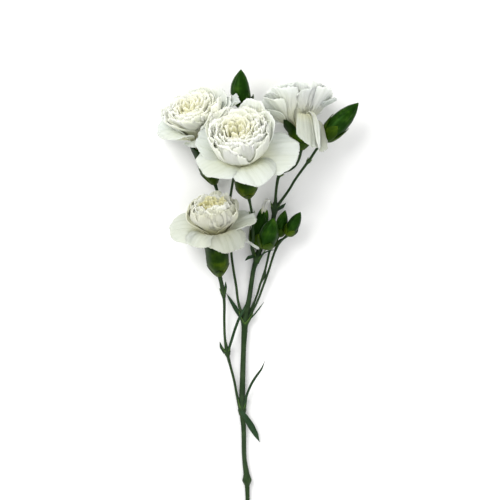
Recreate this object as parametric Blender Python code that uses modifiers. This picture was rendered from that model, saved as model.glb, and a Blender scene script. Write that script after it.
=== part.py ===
"""Cut stem of white spray carnations, lying down: four open blooms, six buds, thin jointed stems.

The stem lies along Y with its cut end at -Y and its flowers at +Y. Z = 0 is what it lies on.
"""

import bpy
import bmesh
from math import cos, pi, radians, sin
from mathutils import Vector
import numpy as np

MM = 0.001
GAP = 0.35 * MM
PETAL_THICKNESS = 0.55 * MM
LEAF_THICKNESS = 0.5 * MM
STEM_RADIUS = 1.35 * MM
PEDICEL_RADIUS = 0.72 * MM
CALYX_STEPS = 16
BUD_STEPS = 14
CLAW_RADIUS = 3.7 * MM
CLAW_HALF_WIDTH = 1.15 * MM
CLAW_ELEVATION = 76.0
CLAW_RISE = 4.5 * MM
PETAL_CUP = 0.1
# where all the pieces are moved to, so that the origin is under the middle of the spray
SHIFT = Vector((1.59, 0.02, -0.1)) * MM

# a flower bud from foot to tip: (share of its radius, share of its length)
BUD_OUTLINE = ((0.0, 1.0), (0.2, 0.955), (0.55, 0.83), (0.86, 0.66), (1.0, 0.46),
               (0.95, 0.26), (0.72, 0.1), (0.36, 0.015), (0.0, 0.0))
# a calyx from its mouth down to its foot: (share of its radius, share of its length)
CALYX_OUTLINE = ((0.0, 1.0), (0.9, 1.0), (1.0, 0.93), (1.0, 0.66), (0.9, 0.4),
                 (0.7, 0.2), (0.44, 0.06), (0.2, 0.0), (0.0, 0.0))
# the packed inner petals from below to above: (share of the radius, share of the height)
HEART_OUTLINE = ((0.0, 0.0), (0.15, 0.0), (0.16, 0.2), (0.34, 0.4), (0.66, 0.53),
                 (0.95, 0.68), (0.97, 0.8), (0.8, 0.92), (0.44, 1.0), (0.0, 0.93))


def clear_scene():
    for item in list(bpy.data.objects):
        bpy.data.objects.remove(item, do_unlink=True)


def make_material(name, colour, roughness):
    material = bpy.data.materials.new(name)
    material.use_nodes = True
    shader = material.node_tree.nodes["Principled BSDF"]
    shader.inputs["Base Color"].default_value = (*colour, 1.0)
    shader.inputs["Roughness"].default_value = roughness
    shader.inputs["Metallic"].default_value = 0.0
    material.diffuse_color = (*colour, 1.0)
    return material


def add_object(name, data, material, parent=None):
    item = bpy.data.objects.new(name, data)
    data.materials.append(material)
    SPRAY.objects.link(item)
    item.parent = parent or ROOT
    return item


def smooth_step(value):
    value = min(max(value, 0.0), 1.0)
    return value * value * (3 - 2 * value)


def add_stem(name, points, material, radius=PEDICEL_RADIUS):
    """A round stem through (x, y, z, share of the radius), swollen where the share is larger."""
    curve = bpy.data.curves.new(name, "CURVE")
    curve.dimensions = "3D"
    curve.bevel_depth = radius
    curve.bevel_resolution = 2
    curve.use_fill_caps = True
    line = curve.splines.new("POLY")
    line.points.add(len(points) - 1)
    for point, (x, y, z, share) in zip(line.points, points):
        point.co = (x * MM, y * MM, z * MM, 1.0)
        point.radius = share
    return add_object(name, curve, material)


def add_strip(name, points, half_width, material, fold=0.25, thickness=LEAF_THICKNESS):
    """A narrow leaf along its midrib: (x, y, z, share of the half width), a little folded along it."""
    centres = [Vector(point[:3]) * MM for point in points]
    mesh = bmesh.new()
    rows = len(points)
    bmesh.ops.create_grid(mesh, x_segments=2, y_segments=rows - 1, size=1.0)
    for vertex in mesh.verts:
        row = round((vertex.co.y + 1) / 2 * (rows - 1))
        across = vertex.co.x
        ahead = centres[min(row + 1, rows - 1)] - centres[max(row - 1, 0)]
        side = ahead.cross(Vector((0, 0, 1))).normalized()
        width = half_width * points[row][3]
        vertex.co = centres[row] + side * across * width + Vector((0, 0, fold * width * abs(across)))
    data = bpy.data.meshes.new(name)
    mesh.to_mesh(data)
    mesh.free()
    data.shade_smooth()
    leaf = add_object(name, data, material)
    thicken(leaf, thickness)
    return leaf


def thicken(item, thickness):
    solid = item.modifiers.new("thickness", "SOLIDIFY")
    solid.thickness = thickness
    solid.offset = 0.0


def add_turned(name, outline, radius, length, steps, material, parent=None):
    """A turned body from its outline, which runs from the tip down to the foot."""
    mesh = bmesh.new()
    last = None
    for share, height in outline:
        vertex = mesh.verts.new((radius * share, 0.0, length * height))
        if last:
            mesh.edges.new((last, vertex))
        last = vertex
    data = bpy.data.meshes.new(name)
    mesh.to_mesh(data)
    mesh.free()
    item = add_object(name, data, material, parent)
    screw = item.modifiers.new("turn", "SCREW")
    screw.steps = steps
    screw.render_steps = steps
    screw.use_merge_vertices = True
    screw.merge_threshold = 0.00001
    screw.use_smooth_shade = True
    return item


def add_bud(name, foot, tip, radius, material):
    start, end = Vector(foot) * MM, Vector(tip) * MM
    bud = add_turned(name, BUD_OUTLINE, radius * MM, (end - start).length, BUD_STEPS, material)
    bud.location = start
    bud.rotation_mode = "QUATERNION"
    bud.rotation_quaternion = (end - start).to_track_quat("Z", "Y")
    return bud


def add_heart(name, radius, height, lift, material, parent, lobes=7):
    """The inner petals as one crumpled dome on a narrow neck."""
    mesh = bmesh.new()
    rings, segments = 14, 26
    bmesh.ops.create_uvsphere(mesh, u_segments=segments, v_segments=rings, radius=1.0)
    shares = np.array(HEART_OUTLINE)
    places = np.linspace(0.0, 1.0, len(shares))
    for vertex in mesh.verts:
        level = 1 - np.arccos(min(max(vertex.co.z, -1.0), 1.0)) / pi
        angle = np.arctan2(vertex.co.y, vertex.co.x)
        reach = float(np.interp(level, places, shares[:, 0])) * radius
        rise = float(np.interp(level, places, shares[:, 1])) * height
        crumple = smooth_step((level - 0.55) / 0.3)
        reach *= 1 + 0.05 * crumple * sin(lobes * angle)
        rise += 0.045 * height * crumple * sin((lobes + 2) * angle + 9 * level)
        vertex.co = (reach * cos(angle), reach * sin(angle), lift + rise)
    data = bpy.data.meshes.new(name)
    mesh.to_mesh(data)
    mesh.free()
    data.shade_smooth()
    return add_object(name, data, material, parent)


def petal_path(length, blade, tip, steps=40):
    """The middle line of a petal in its own plane: how far out and how high it is along its length."""
    reach, height = CLAW_RADIUS, 0.0
    line = [(0.0, reach, height, CLAW_ELEVATION)]
    for step in range(1, steps + 1):
        share = (step - 0.5) / steps
        bend = smooth_step((share * length - CLAW_RISE) / (0.28 * length))
        elevation = CLAW_ELEVATION + (blade - CLAW_ELEVATION) * bend
        elevation += (tip - blade) * smooth_step((share - 0.45) / 0.55)
        reach += cos(radians(elevation)) * length / steps
        height += sin(radians(elevation)) * length / steps
        line.append((step / steps, reach, height, elevation))
    return np.array(line)


def add_petal(name, parent, lift, azimuth, length, width, blade, tip, sector, material):
    """A fan-shaped petal on a narrow claw. Azimuth 0 is the upper side, 90 the right one."""
    line = petal_path(length * MM, blade, tip)
    out = Vector((sin(radians(azimuth)), -cos(radians(azimuth)), 0))
    side = Vector((cos(radians(azimuth)), sin(radians(azimuth)), 0))
    mesh = bmesh.new()
    bmesh.ops.create_grid(mesh, x_segments=6, y_segments=8, size=1.0)
    for vertex in mesh.verts:
        across = vertex.co.x
        share = (vertex.co.y + 1) / 2 * (1 - 0.3 * abs(across) ** 3)
        reach, height, slope = (float(np.interp(share, line[:, 0], line[:, i])) for i in (1, 2, 3))
        fan = CLAW_HALF_WIDTH + (width / 2 * MM - CLAW_HALF_WIDTH) * smooth_step((share - 0.12) / 0.6)
        fan = min(fan, reach * sin(radians(sector)) - GAP)
        lean = radians(slope + 90)
        raised = PETAL_CUP * fan * across * across
        place = out * (reach + raised * cos(lean)) + side * across * fan
        vertex.co = place + Vector((0, 0, lift + height + raised * sin(lean)))
    data = bpy.data.meshes.new(name)
    mesh.to_mesh(data)
    mesh.free()
    data.shade_smooth()
    petal = add_object(name, data, material, parent)
    thicken(petal, PETAL_THICKNESS)
    return petal


def add_bloom(name, base, lean, tilt, calyx, heart, petals):
    """A bloom on its own axis: calyx, guard petals and the heart of inner petals.

    lean is the axis's turn to the left, and tilt is how far it is raised from lying flat.
    """
    frame = bpy.data.objects.new(name, None)
    SPRAY.objects.link(frame)
    frame.parent = ROOT
    frame.location = Vector(base) * MM
    frame.rotation_euler = (radians(tilt - 90), 0, radians(lean))
    calyx_length, calyx_radius = calyx
    add_turned("calyx_" + name, CALYX_OUTLINE, calyx_radius * MM, calyx_length * MM, CALYX_STEPS,
               CALYX_GREEN, frame)
    mouth = calyx_length * MM + GAP
    radius, height = heart
    add_heart("heart_" + name, radius * MM, height * MM, mouth, PETAL_CREAM, frame)
    for label, azimuth, length, width, blade, tip, sector in petals:
        add_petal("petal_" + name + "_" + label, frame, mouth + 0.5 * MM, azimuth, length, width,
                  blade, tip, sector, PETAL_WHITE)


def add_blooms():
    # petals: name, azimuth, length, width, slope of the blade, slope of its tip, half of its sector
    add_bloom("front", (-6.1, 53.9, 20.6), 9, 40, (20, 6.3), (20.5, 30), (
        ("right", 88, 35, 26, 12, -6, 34),
        ("lower", 26, 31, 24, 8, -24, 32),
        ("lower_left", -38, 32, 24, 10, -16, 32),
        ("left", -100, 31, 24, 18, 2, 30),
        ("back_left", -157, 21, 20, 28, 26, 27),
        ("back_right", 146, 25, 20, 34, 28, 27)))
    add_bloom("left", (-24.8, 61.6, 7.4), 18, 25, (23, 5.9), (16.5, 28), (
        ("lower_left", -70, 28, 24, 8, -18, 34),
        ("lower", -4, 18, 20, 2, -24, 30),
        ("right", 58, 18, 18, 2, -14, 28),
        ("under_right", 128, 27, 22, 20, 2, 34),
        ("under_left", -140, 30, 24, 16, -7, 34)))
    add_bloom("right", (22.8, 79.8, 22.6), 4, -8, (11.5, 6.2), (17.5, 24), (
        ("hanging", 22, 29, 24, 2, -50, 34),
        ("left", -50, 27, 22, 20, 6, 34),
        ("folded", 92, 27, 20, 26, 12, 34),
        ("under_left", -124, 26, 22, 12, -6, 34),
        ("under_right", 160, 22, 22, 22, 6, 34)))
    add_bloom("low", (-22.3, 10.7, 8.6), 5, 28, (20, 6.3), (14.5, 23), (
        ("left", -84, 27, 22, 6, -26, 30),
        ("centre", -27, 25, 20, 2, -32, 26),
        ("lower_right", 28, 27, 24, 4, -28, 28),
        ("right", 86, 27, 20, 14, -2, 28),
        ("under_right", 146, 17, 14, 40, 40, 26),
        ("under_left", -152, 29.8, 24, 12, -10, 34)))


def add_stems():
    add_stem("stem_main", (
        (-6.6, -123.8, 1.8, 0.9), (-6.6, -112.8, 2.2, 0.86), (-6.8, -106.4, 2.5, 1.0),
        (-6.9, -103.4, 2.75, 1.95), (-7.2, -100.6, 2.7, 1.1), (-8.3, -92.0, 2.7, 0.95),
        (-8.8, -74.2, 2.8, 1.0), (-9.4, -67.6, 2.8, 1.1), (-9.6, -64.4, 2.8, 1.8),
        (-9.6, -61.2, 2.8, 1.15), (-9.4, -49.5, 2.9, 1.05), (-8.8, -30.3, 3.0, 1.05),
        (-8.2, -18.0, 3.2, 1.3), (-8.0, -13.8, 3.3, 1.9), (-7.3, -9.8, 3.3, 1.3),
        (-5.8, -2.8, 3.3, 1.0), (-4.4, 6.6, 3.3, 0.97), (-3.0, 14.9, 3.3, 0.97),
        (-2.0, 18.0, 3.4, 1.15), (-1.2, 20.8, 3.5, 1.8), (-0.2, 24.0, 3.4, 1.1),
        (2.9, 29.5, 2.3, 0.9), (6.7, 38.2, 2.6, 0.9), (8.2, 44.6, 4.1, 1.0),
        (8.6, 48.2, 5.0, 1.8), (8.9, 51.2, 5.6, 0.95)), STEM_GREEN, STEM_RADIUS)
    add_stem("stem_low_bloom", (
        (-12.3, -61.2, 2.9, 1.0), (-12.9, -53.9, 3.2, 1.0), (-13.9, -48.4, 3.4, 1.0),
        (-16.0, -40.2, 3.8, 1.0), (-17.4, -34.6, 4.2, 1.3), (-17.9, -31.9, 4.4, 2.8),
        (-18.4, -29.2, 4.5, 1.4), (-19.1, -24.8, 4.8, 1.0), (-19.5, -14.9, 5.2, 1.0),
        (-19.6, -2.5, 6.0, 1.05), (-20.1, 1.1, 6.3, 2.0), (-20.9, 5.5, 7.0, 1.1),
        (-22.2, 10.2, 8.05, 1.2)), STEM_GREEN)
    add_stem("stem_front_bloom", (
        (-4.2, 23.2, 5.6, 1.2), (-4.4, 27.0, 10.8, 1.0), (-3.4, 30.3, 13.7, 1.0),
        (-3.4, 34.7, 15.5, 1.0), (-4.0, 41.6, 17.1, 1.1), (-4.1, 43.5, 17.4, 1.8),
        (-4.3, 45.4, 18.0, 1.1), (-5.0, 49.5, 19.2, 1.0), (-5.9, 53.4, 20.3, 1.3)), STEM_GREEN)
    add_stem("stem_right_bloom", (
        (8.9, 51.7, 5.8, 1.2), (9.0, 54.5, 7.4, 1.1), (9.6, 60.5, 10.6, 1.1),
        (10.5, 65.2, 13.0, 1.3), (11.1, 66.6, 13.8, 2.2), (13.0, 67.6, 14.8, 1.1),
        (18.3, 69.9, 18.0, 1.0), (20.9, 73.0, 19.6, 1.0), (22.6, 78.8, 22.4, 1.3)), STEM_GREEN)
    add_stem("stem_left_bloom", (
        (-17.9, 37.0, 6.0, 1.0), (-18.9, 42.0, 6.1, 1.0), (-20.6, 50.0, 6.4, 1.0),
        (-23.2, 57.0, 6.7, 1.0), (-24.7, 61.1, 7.3, 1.3)), STEM_GREEN)
    add_stem("stem_bud_top", (
        (-11.2, -9.6, 3.6, 1.0), (-11.7, -4.4, 3.8, 1.0), (-12.8, 3.9, 4.2, 1.0),
        (-14.6, 14.9, 5.0, 0.95), (-15.5, 22.0, 5.4, 0.95), (-16.1, 33.0, 6.0, 1.0),
        (-16.2, 52.3, 8.0, 1.0), (-14.6, 63.3, 10.2, 1.0), (-11.8, 79.8, 14.2, 1.0),
        (-9.4, 93.5, 18.4, 1.0), (-8.6, 101.6, 21.0, 1.2)), STEM_GREEN)
    add_stem("stem_bud_right", (
        (11.2, 50.6, 6.0, 1.0), (16.2, 57.8, 9.0, 1.0), (19.5, 63.3, 11.5, 1.0),
        (23.4, 68.8, 14.0, 1.0), (26.2, 72.6, 16.2, 1.1), (27.0, 73.7, 16.7, 1.9),
        (27.9, 74.9, 17.1, 1.1), (31.1, 79.8, 18.4, 1.0), (34.6, 84.8, 19.4, 1.3)), STEM_GREEN)
    add_stem("stem_bud_middle", (
        (-4.6, -10.2, 2.6, 0.9), (-1.6, -1.1, 3.0, 0.85), (0.8, 6.6, 4.0, 0.9),
        (2.5, 10.5, 4.8, 1.5), (3.3, 14.0, 5.4, 0.9), (4.5, 19.2, 6.4, 0.9),
        (5.9, 24.8, 7.6, 0.9), (8.0, 28.6, 8.3, 0.9), (10.0, 31.6, 8.8, 1.0)), STEM_GREEN)
    add_stem("stem_bud_small", (
        (-4.3, -11.4, 4.6, 0.9), (-1.2, -3.9, 5.0, 0.85), (1.4, 2.8, 5.4, 0.9),
        (4.9, 12.7, 6.4, 0.9), (8.5, 23.7, 9.0, 0.9), (11.2, 29.4, 11.2, 1.5),
        (13.2, 31.0, 11.9, 0.9), (14.9, 32.2, 12.4, 1.0)), STEM_GREEN)


def add_buds():
    add_bud("bud_top", (-8.45, 102.2, 21.3), (-10.2, 123.8, 25.0), 5.5, BUD_GREEN)
    add_bud("bud_right", (34.9, 85.2, 19.6), (54.4, 105.6, 23.0), 5.5, BUD_GREEN)
    add_bud("bud_opening", (-2.2, 25.4, 6.6), (2.6, 47.6, 10.0), 4.9, BUD_GREEN)
    add_bud("bud_front", (3.0, 25.6, 13.3), (7.9, 42.3, 22.3), 5.3, BUD_GREEN)
    add_bud("bud_middle", (10.3, 32.0, 9.0), (14.3, 46.8, 10.8), 3.4, BUD_GREEN)
    add_bud("petal_opening_bud", (2.9, 48.0, 10.2), (4.6, 52.8, 11.6), 1.6, PETAL_CREAM)
    add_bud("bud_small", (15.3, 32.6, 12.6), (22.7, 45.7, 15.8), 3.5, BUD_GREEN)


def add_leaves():
    add_strip("leaf_lance", (
        (-8.9, -66.6, 5.3, 0.35), (-7.4, -69.9, 5.0, 0.7), (-5.2, -75.0, 4.6, 1.0),
        (-3.0, -79.6, 3.4, 0.7), (-1.1, -82.6, 2.4, 0.08)), 1.8 * MM, LEAF_GREEN)
    add_strip("leaf_curved", (
        (-7.4, -60.4, 4.2, 0.7), (-6.3, -53.9, 4.8, 1.0), (-4.1, -48.4, 5.6, 1.0),
        (-1.7, -44.0, 6.4, 1.0), (0.3, -40.7, 7.2, 0.8), (1.7, -36.9, 8.2, 0.2)), 0.8 * MM, LEAF_GREEN)
    add_strip("leaf_joint", (
        (-16.6, -29.2, 5.8, 0.8), (-15.4, -25.3, 6.0, 1.0), (-13.8, -19.8, 6.4, 1.0),
        (-11.6, -13.8, 6.8, 1.0), (-9.4, -8.8, 7.0, 0.8), (-7.2, -2.6, 6.6, 0.2)), 0.7 * MM, LEAF_GREEN)
    add_strip("leaf_left", (
        (-11.6, -12.2, 2.0, 0.8), (-13.0, -8.2, 1.8, 1.0), (-14.9, -5.0, 2.4, 0.8),
        (-16.8, -1.9, 3.2, 0.5), (-18.4, 0.6, 3.8, 0.1)), 1.2 * MM, LEAF_GREEN)
    add_strip("leaf_right", (
        (-4.7, -14.0, 5.0, 0.8), (-2.4, -10.6, 6.0, 1.0), (0.1, -7.4, 6.9, 0.9),
        (2.5, -4.1, 7.4, 0.2)), 0.7 * MM, LEAF_GREEN)
    add_strip("bract_joint", (
        (-20.6, -31.8, 4.6, 1.0), (-21.2, -29.2, 5.0, 1.0), (-22.0, -26.2, 5.6, 0.2)), 0.7 * MM, LEAF_GREEN)
    add_strip("bract_knot", (
        (-4.3, 21.3, 4.4, 1.0), (-6.0, 20.6, 5.0, 1.0), (-8.0, 18.8, 5.6, 0.15)), 0.8 * MM, LEAF_GREEN)
    add_strip("bract_thread", (
        (1.7, 21.8, 5.0, 1.0), (3.2, 23.4, 8.6, 1.0), (6.0, 24.6, 10.4, 0.9),
        (8.9, 24.9, 10.8, 0.3)), 0.5 * MM, LEAF_GREEN)
    add_strip("bract_front", (
        (-6.2, 42.8, 17.2, 1.0), (-6.7, 40.8, 17.3, 1.0), (-7.2, 38.4, 17.6, 0.2)), 0.6 * MM, LEAF_GREEN)
    add_strip("bract_low", (
        (-17.8, 1.4, 6.6, 1.0), (-18.2, 4.2, 7.0, 1.0), (-18.9, 7.2, 7.4, 0.2)), 0.7 * MM, LEAF_GREEN)
    add_strip("bract_fork", (
        (11.3, 47.6, 6.0, 1.0), (12.8, 48.8, 6.8, 1.0), (14.6, 50.8, 7.8, 0.15)), 0.9 * MM, LEAF_GREEN)


clear_scene()
SPRAY = bpy.data.collections.new("carnation_spray")
bpy.context.scene.collection.children.link(SPRAY)
ROOT = bpy.data.objects.new("spray", None)
SPRAY.objects.link(ROOT)
ROOT.location = SHIFT
STEM_GREEN = make_material("stem_green", (0.10, 0.17, 0.06), 0.55)
LEAF_GREEN = make_material("leaf_green", (0.05, 0.12, 0.07), 0.6)
CALYX_GREEN = make_material("calyx_green", (0.06, 0.13, 0.015), 0.45)
BUD_GREEN = make_material("bud_green", (0.05, 0.14, 0.02), 0.42)
PETAL_WHITE = make_material("petal_white", (0.82, 0.85, 0.78), 0.7)
PETAL_CREAM = make_material("petal_cream", (0.84, 0.85, 0.66), 0.7)
add_stems()
add_leaves()
add_buds()
add_blooms()
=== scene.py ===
"""A cut stem of white spray carnations lying on a pale table: petals, calyces, buds, stems and leaves."""

from math import cos, pi, radians, sin

import bmesh
import bpy
import numpy as np
from mathutils import Euler, Matrix, Vector


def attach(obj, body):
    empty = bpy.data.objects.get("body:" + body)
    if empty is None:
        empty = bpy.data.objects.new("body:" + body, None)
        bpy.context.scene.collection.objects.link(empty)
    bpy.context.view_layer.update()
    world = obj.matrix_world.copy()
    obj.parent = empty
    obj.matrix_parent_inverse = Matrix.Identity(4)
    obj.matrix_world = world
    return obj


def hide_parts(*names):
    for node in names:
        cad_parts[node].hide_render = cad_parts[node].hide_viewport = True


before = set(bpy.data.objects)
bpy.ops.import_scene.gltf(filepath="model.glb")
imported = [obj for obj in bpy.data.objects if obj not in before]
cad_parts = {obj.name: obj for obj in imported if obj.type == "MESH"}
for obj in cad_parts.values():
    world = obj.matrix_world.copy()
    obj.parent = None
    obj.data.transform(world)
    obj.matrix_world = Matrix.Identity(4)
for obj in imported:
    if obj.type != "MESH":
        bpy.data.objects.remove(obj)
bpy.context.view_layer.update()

MM = 0.001
# the move that puts the origin under the middle of the spray, as in the solid model
SHIFT = Vector((1.59, 0.02, -0.1)) * MM

PETAL_WALL = 0.28 * MM
LEAF_WALL = 0.4 * MM
CALYX_WALL = 0.55 * MM
SHEATH_WALL = 0.25 * MM
STEM_RADIUS = 1.35 * MM
PEDICEL_RADIUS = 0.72 * MM
GRID_WELD = 0.004 * MM
STEM_WELD = 0.002 * MM

# petals, calyces and buds are laid out in millimetres in a frame of their own
CLAW_HALF_WIDTH = 1.2
SEPALS = 5
BRACTS = 4
WHOLE_WAVE = 6.28

# columns and rows of the grid that each kind of petal starts from
WHORL_GRID = (44, 22)
GUARD_GRID = (40, 26)
EXTRA_GRID = (40, 24)
TIP_GRID = (16, 16)


# ---------------------------------------------------------------- materials

def new_material(name, colour, roughness, subsurface=0.0, scatter=0.001):
    material = bpy.data.materials.new(name)
    material.use_nodes = True
    shader = material.node_tree.nodes["Principled BSDF"]
    shader.inputs["Base Color"].default_value = (*colour, 1.0)
    shader.inputs["Roughness"].default_value = roughness
    shader.inputs["Metallic"].default_value = 0.0
    shader.inputs["Subsurface Weight"].default_value = subsurface
    shader.inputs["Subsurface Radius"].default_value = (1.0, 1.0, 0.92)
    shader.inputs["Subsurface Scale"].default_value = scatter
    material.diffuse_color = (*colour, 1.0)
    return material, material.node_tree.nodes, material.node_tree.links, shader


def noise_node(nodes, links, source, scale, stretch=(1, 1, 1), detail=4.0, offset=(0, 0, 0)):
    mapping = nodes.new("ShaderNodeMapping")
    mapping.inputs["Scale"].default_value = stretch
    mapping.inputs["Location"].default_value = offset
    noise = nodes.new("ShaderNodeTexNoise")
    noise.inputs["Scale"].default_value = scale
    noise.inputs["Detail"].default_value = detail
    links.new(source, mapping.inputs["Vector"])
    links.new(mapping.outputs["Vector"], noise.inputs["Vector"])
    return noise.outputs["Fac"]


def ramp_node(nodes, links, source, stops):
    ramp = nodes.new("ShaderNodeValToRGB")
    while len(ramp.color_ramp.elements) < len(stops):
        ramp.color_ramp.elements.new(0.5)
    for element, (position, colour) in zip(ramp.color_ramp.elements, stops):
        element.position = position
        element.color = (*colour, 1.0)
    links.new(source, ramp.inputs["Fac"])
    return ramp.outputs["Color"]


def feed(links, value, socket):
    """Give a socket a number, a colour or the output of another node."""
    if isinstance(value, (int, float)):
        socket.default_value = value
    elif isinstance(value, tuple):
        socket.default_value = (*value, 1.0)
    else:
        links.new(value, socket)


def mix_colour(nodes, links, factor, first, second, blend="MIX"):
    mix = nodes.new("ShaderNodeMix")
    mix.data_type = "RGBA"
    mix.blend_type = blend
    for value, socket in ((factor, mix.inputs[0]), (first, mix.inputs[6]), (second, mix.inputs[7])):
        feed(links, value, socket)
    return mix.outputs[2]


def math_node(nodes, links, operation, *values):
    node = nodes.new("ShaderNodeMath")
    node.operation = operation
    for value, socket in zip(values, node.inputs):
        feed(links, value, socket)
    return node.outputs[0]


def add_bump(nodes, links, shader, height, strength, distance):
    bump = nodes.new("ShaderNodeBump")
    bump.inputs["Strength"].default_value = strength
    bump.inputs["Distance"].default_value = distance
    links.new(height, bump.inputs["Height"])
    links.new(bump.outputs["Normal"], shader.inputs["Normal"])


def petal_material(name, claw, throat, blade, rim, yellow=0.0):
    """Thin petal: greenish claw, creamy throat, white blade, with fine veins that run along it."""
    material, nodes, links, shader = new_material(name, blade, 0.62, subsurface=0.75, scatter=2.2 * MM)
    shader.inputs["Sheen Weight"].default_value = 0.12
    shader.inputs["Sheen Roughness"].default_value = 0.5
    shader.inputs["Specular IOR Level"].default_value = 0.28
    place = nodes.new("ShaderNodeTexCoord")
    split = nodes.new("ShaderNodeSeparateXYZ")
    links.new(place.outputs["UV"], split.inputs[0])
    cloud = noise_node(nodes, links, place.outputs["Object"], 130.0, detail=3.0)
    drift = math_node(nodes, links, "MULTIPLY_ADD", cloud, 0.22, -0.11)
    along = math_node(nodes, links, "ADD", drift, split.outputs["Y"])
    colour = ramp_node(nodes, links, along, ((0.0, claw), (0.26, throat), (0.62, blade), (1.0, rim)))
    veins = noise_node(nodes, links, place.outputs["UV"], 1.0, (46, 1.7, 1), 5.0)
    vein_height = ramp_node(nodes, links, veins, ((0.34, (0, 0, 0)), (0.66, (1, 1, 1))))
    vein_shade = ramp_node(nodes, links, veins, ((0.36, (0.95, 0.955, 0.93)), (0.6, (1, 1, 1))))
    veined = mix_colour(nodes, links, 1.0, colour, vein_shade, "MULTIPLY")
    patch = noise_node(nodes, links, place.outputs["Object"], 55.0, detail=2.0, offset=(3, 1, 7))
    tint = ramp_node(nodes, links, patch, ((0.4, (1, 1, 1)), (0.66, (0.985, 0.975, 0.9 - yellow))))
    links.new(mix_colour(nodes, links, 1.0, veined, tint, "MULTIPLY"), shader.inputs["Base Color"])
    grain = noise_node(nodes, links, place.outputs["Object"], 900.0, detail=2.0)
    links.new(math_node(nodes, links, "MULTIPLY_ADD", grain, 0.16, 0.54), shader.inputs["Roughness"])
    relief = math_node(nodes, links, "MULTIPLY_ADD", grain, 0.22, vein_height)
    add_bump(nodes, links, shader, relief, 0.35, 0.16 * MM)
    return material


def green_material(name, dark, mid, pale, roughness, ribs, wax_and_highlight=0.0, rib_scale=1.0, use_uv=True, tint=None):
    """Plant skin: mottled green with fine lines along it, and grey-green patches that are partly a real bloom
    of wax and partly a painted highlight.
    """
    material, nodes, links, shader = new_material(name, mid, roughness, subsurface=0.08, scatter=0.8 * MM)
    shader.inputs["Specular IOR Level"].default_value = 0.16
    shader.inputs["Specular Tint"].default_value = (0.4, 1.0, 0.25, 1.0)
    place = nodes.new("ShaderNodeTexCoord")
    own = place.outputs["UV"] if use_uv else place.outputs["Object"]
    mottle = noise_node(nodes, links, place.outputs["Object"], 190.0, detail=4.0)
    colour = ramp_node(nodes, links, mottle, ((0.3, dark), (0.52, mid), (0.78, pale)))
    lines = noise_node(nodes, links, own, rib_scale, ribs, 3.0)
    line_shade = ramp_node(nodes, links, lines, ((0.35, (0.78, 0.82, 0.72)), (0.62, (1.08, 1.08, 1.0))))
    colour = mix_colour(nodes, links, 1.0, colour, line_shade, "MULTIPLY")
    # a ramp from foot to tip multiplies the colour; on calyces and their bracts it darkens the upper end as
    # painted shade under the petals
    if tint:
        split = nodes.new("ShaderNodeSeparateXYZ")
        links.new(place.outputs["UV"], split.inputs[0])
        shade = ramp_node(nodes, links, split.outputs["Y"], tint)
        colour = mix_colour(nodes, links, 1.0, colour, shade, "MULTIPLY")
    # grey-green patches: partly the real waxy bloom, partly a painted highlight
    if wax_and_highlight:
        patches = noise_node(nodes, links, place.outputs["Object"], 75.0, detail=3.0, offset=(5, 2, 1))
        amount = math_node(nodes, links, "MULTIPLY", patches, wax_and_highlight)
        colour = mix_colour(nodes, links, amount, colour, (0.26, 0.34, 0.24))
    links.new(colour, shader.inputs["Base Color"])
    grain = noise_node(nodes, links, place.outputs["Object"], 1400.0, detail=2.0)
    rough = math_node(nodes, links, "MULTIPLY_ADD", grain, 0.2, roughness - 0.1)
    links.new(rough, shader.inputs["Roughness"])
    relief = math_node(nodes, links, "MULTIPLY_ADD", grain, 0.3, lines)
    add_bump(nodes, links, shader, relief, 0.4, 0.15 * MM)
    return material


# petals, as the colours of claw, throat, blade and rim
CREAM_CLAW = (0.42, 0.43, 0.12)
IVORY_CLAW = (0.52, 0.53, 0.20)
PETAL_WHITE = petal_material(
    "petal_white", CREAM_CLAW, (0.56, 0.57, 0.38), (0.55, 0.595, 0.54), (0.57, 0.62, 0.59))
# a darker copy of the guard petal colour: painted shade for petals that hang or lie in shade
PETAL_SHADE = petal_material(
    "petal_shade", CREAM_CLAW, (0.52, 0.51, 0.32), (0.47, 0.50, 0.44), (0.50, 0.54, 0.49))
# a still darker copy of the petal colour: painted shade for petals that droop away from the light
PETAL_DEEP_SHADE = petal_material(
    "petal_deep_shade", CREAM_CLAW, (0.42, 0.41, 0.27), (0.34, 0.355, 0.30), (0.40, 0.425, 0.37))
# a brighter copy of the petal colour: painted light for petals that face away from the lamps
PETAL_LIT = petal_material(
    "petal_lit", CREAM_CLAW, (0.66, 0.68, 0.48), (0.72, 0.76, 0.68), (0.80, 0.85, 0.79))
PETAL_CUP = petal_material(
    "petal_cup", CREAM_CLAW, (0.62, 0.62, 0.36), (0.70, 0.725, 0.59), (0.76, 0.79, 0.68), yellow=0.02)
# a darker copy of the cup colour: painted shade for the low bloom
PETAL_SHADED_CUP = petal_material(
    "petal_shaded_cup", CREAM_CLAW, (0.56, 0.54, 0.28), (0.60, 0.60, 0.45), (0.68, 0.69, 0.56), yellow=0.02)
PETAL_IVORY = petal_material(
    "petal_ivory", IVORY_CLAW, (0.82, 0.83, 0.56), (0.92, 0.94, 0.80), (0.94, 0.96, 0.87), yellow=0.03)
PETAL_CREAM = petal_material(
    "petal_cream", IVORY_CLAW, (0.84, 0.82, 0.48), (0.94, 0.94, 0.70), (0.96, 0.96, 0.80), yellow=0.04)
# darker and yellower than the cream and core: partly the heart's real yellow, partly painted shade for the
# low bloom
PETAL_SHADED_GOLD = petal_material(
    "petal_shaded_gold", (0.50, 0.44, 0.10), (0.66, 0.58, 0.20), (0.78, 0.72, 0.36), (0.84, 0.80, 0.50),
    yellow=0.06)
PETAL_CORE = petal_material(
    "petal_core", (0.66, 0.63, 0.18), (0.90, 0.85, 0.42), (0.95, 0.93, 0.60), (0.97, 0.96, 0.72),
    yellow=0.06)
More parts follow.
